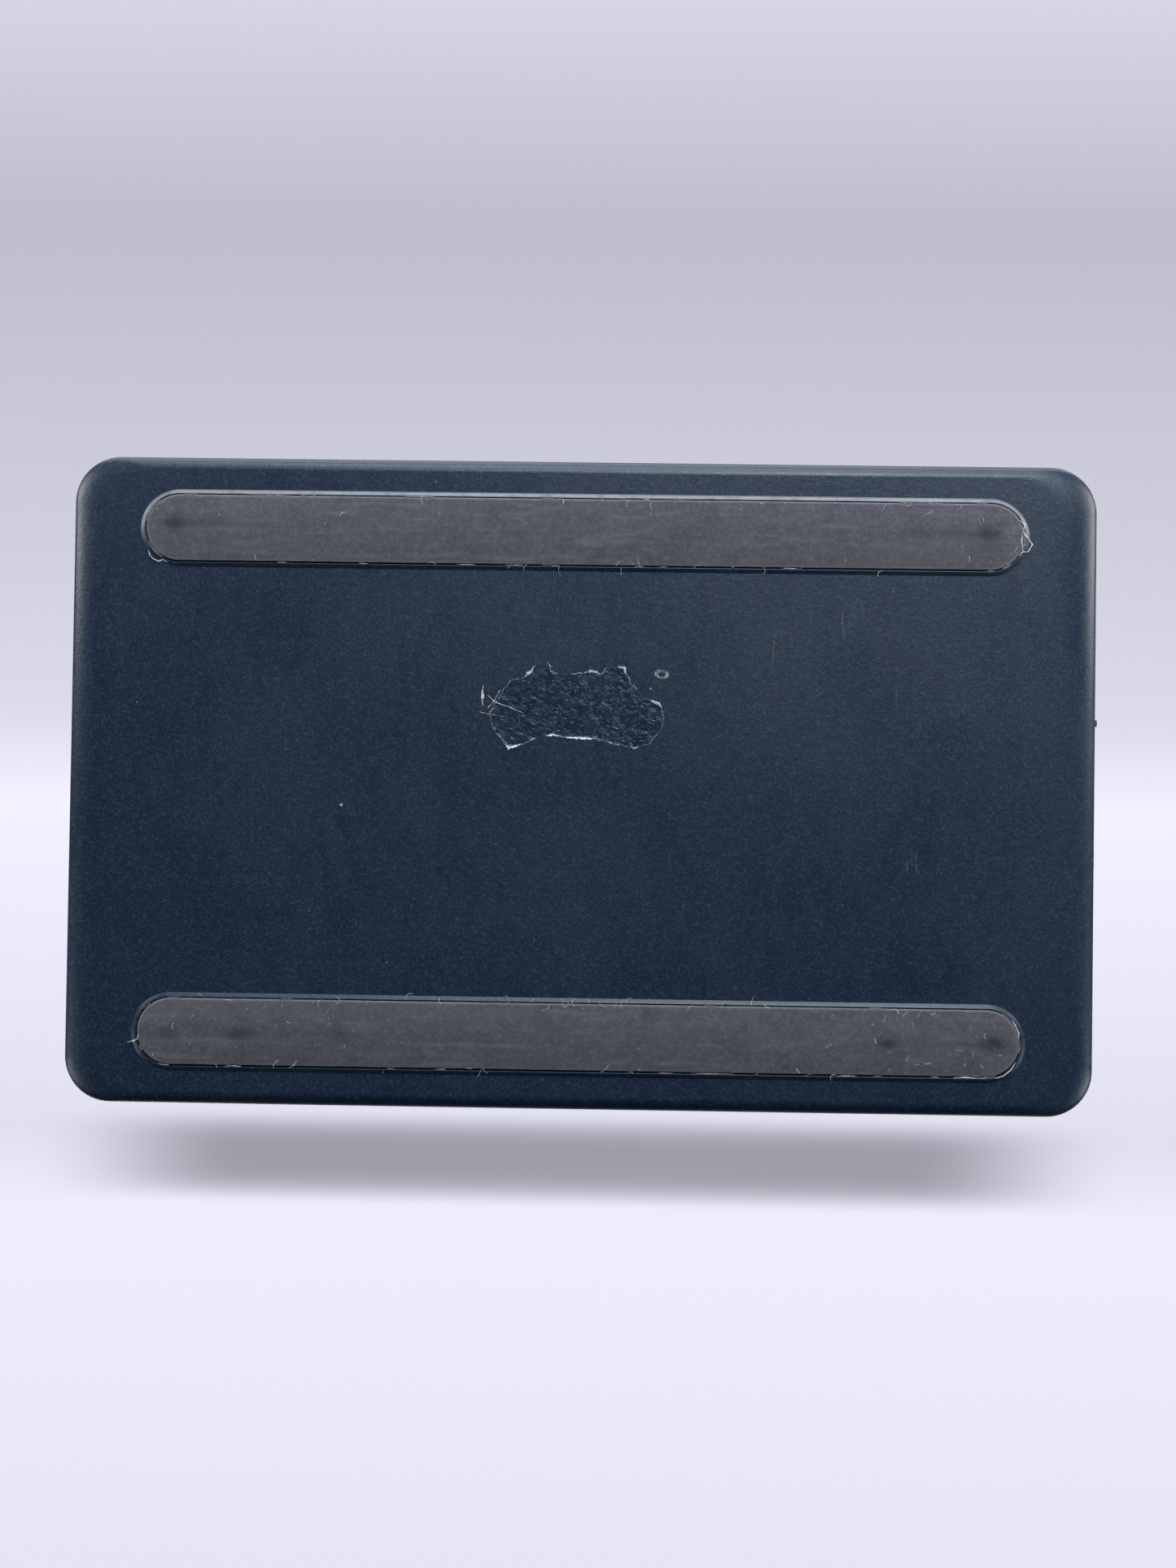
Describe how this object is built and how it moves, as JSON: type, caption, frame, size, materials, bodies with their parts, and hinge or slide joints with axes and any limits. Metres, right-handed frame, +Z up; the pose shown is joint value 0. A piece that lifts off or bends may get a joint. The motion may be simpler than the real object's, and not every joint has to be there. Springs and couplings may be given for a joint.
{
  "type": "pen drawing tablet",
  "caption": "Thin rounded drawing tablet with a textured pen surface, shortcut keys, a touch ring, long rubber feet and a side charging inlet.",
  "frame": {"origin": "on the surface the tablet rests on, below the middle of its outline", "axes": "+Z up towards the drawing surface, +X to the user's right, +Y away from the user"},
  "size_m": [0.2698, 0.17, 0.0091],
  "materials": {
    "cover_plastic": "satin moulded plastic, very dark blue-black, fine even grain",
    "frame_plastic": "satin moulded plastic, near black",
    "drawing_sheet": "fine paper-like texture, matte",
    "key_plastic": "satin moulded plastic",
    "ring_plastic": "half-gloss moulded plastic",
    "foot_rubber": "matte grey rubber with lint",
    "sensor_film": "clear amber film",
    "circuit_board": "green solder mask",
    "chip_plastic": "moulded black resin",
    "connector_plastic": "moulded cream plastic",
    "light_plastic": "clear moulded plastic",
    "shield_steel": "plain rolled steel",
    "dome_steel": "sprung steel",
    "port_steel": "plated steel",
    "screw_steel": "plated steel",
    "battery_foil": "soft foil pouch",
    "wire_insulation": "thin wire insulation",
    "tape": "double-sided tape"
  },
  "bodies": {
    "case": {"rear_cover": "cover_plastic", "top_frame": "frame_plastic", "drawing_sheet": "drawing_sheet", "touch_sensor_film": "sensor_film", "digitizer_board": "circuit_board", "shield_sheet": "shield_steel", "main_board": "circuit_board", "main_board_chips": "chip_plastic", "wireless_board": "circuit_board", "wireless_can": "shield_steel", "battery_socket": "connector_plastic", "battery_lead": "wire_insulation", "battery": "battery_foil", "battery_tape": "tape", "key_board": "circuit_board", "key_board_link": "connector_plastic", "key_dome_1": "dome_steel", "key_dome_2": "dome_steel", "key_dome_3": "dome_steel", "key_dome_4": "dome_steel", "key_dome_5": "dome_steel", "key_dome_6": "dome_steel", "ring_button_dome": "dome_steel", "ring_board": "circuit_board", "mode_lights": "light_plastic", "mode_light_guides": "light_plastic", "touch_ring": "ring_plastic", "power_switch": "chip_plastic", "power_light": "light_plastic", "power_light_pipe": "light_plastic", "touch_switch_body": "shield_steel", "charging_port_shell": "port_steel", "charging_port_tongue": "chip_plastic", "sensor_flex": "sensor_film", "sensor_flex_socket": "connector_plastic", "near_foot_pad": "foot_rubber", "far_foot_pad": "foot_rubber", "foot_tapes": "tape", "case_screws": "screw_steel", "main_board_screws": "screw_steel", "key_board_screws": "screw_steel"},
    "key_1": {"shortcut_key_1": "key_plastic"},
    "key_2": {"shortcut_key_2": "key_plastic"},
    "key_3": {"shortcut_key_3": "key_plastic"},
    "key_4": {"shortcut_key_4": "key_plastic"},
    "key_5": {"shortcut_key_5": "key_plastic"},
    "key_6": {"shortcut_key_6": "key_plastic"},
    "centre_button": {"ring_button": "key_plastic"},
    "power_key": {"power_button": "key_plastic", "power_switch_plunger": "connector_plastic"},
    "touch_slider": {"touch_switch_knob": "key_plastic"}
  },
  "joints": [
    {"name": "key_1_press", "type": "slide", "parent": "case", "child": "key_1", "axis": [0, 0, -1], "range_m": [0, 0.0004], "stiffness_N_per_m": 1500, "deforming": ["key_dome_1"]},
    {"name": "key_2_press", "type": "slide", "parent": "case", "child": "key_2", "axis": [0, 0, -1], "range_m": [0, 0.0004], "stiffness_N_per_m": 1500, "deforming": ["key_dome_2"]},
    {"name": "key_3_press", "type": "slide", "parent": "case", "child": "key_3", "axis": [0, 0, -1], "range_m": [0, 0.0004], "stiffness_N_per_m": 1500, "deforming": ["key_dome_3"]},
    {"name": "key_4_press", "type": "slide", "parent": "case", "child": "key_4", "axis": [0, 0, -1], "range_m": [0, 0.0004], "stiffness_N_per_m": 1500, "deforming": ["key_dome_4"]},
    {"name": "key_5_press", "type": "slide", "parent": "case", "child": "key_5", "axis": [0, 0, -1], "range_m": [0, 0.0004], "stiffness_N_per_m": 1500, "deforming": ["key_dome_5"]},
    {"name": "key_6_press", "type": "slide", "parent": "case", "child": "key_6", "axis": [0, 0, -1], "range_m": [0, 0.0004], "stiffness_N_per_m": 1500, "deforming": ["key_dome_6"]},
    {"name": "centre_button_press", "type": "slide", "parent": "case", "child": "centre_button", "axis": [0, 0, -1], "range_m": [0, 0.0004], "stiffness_N_per_m": 1500, "deforming": ["ring_button_dome"]},
    {"name": "power_press", "type": "slide", "parent": "case", "child": "power_key", "axis": [1, 0, 0], "range_m": [0, 0.0003], "stiffness_N_per_m": 1500},
    {"name": "touch_switch_slide", "type": "slide", "parent": "case", "child": "touch_slider", "axis": [0, -1, 0], "range_m": [0, 0.002]}
  ]
}
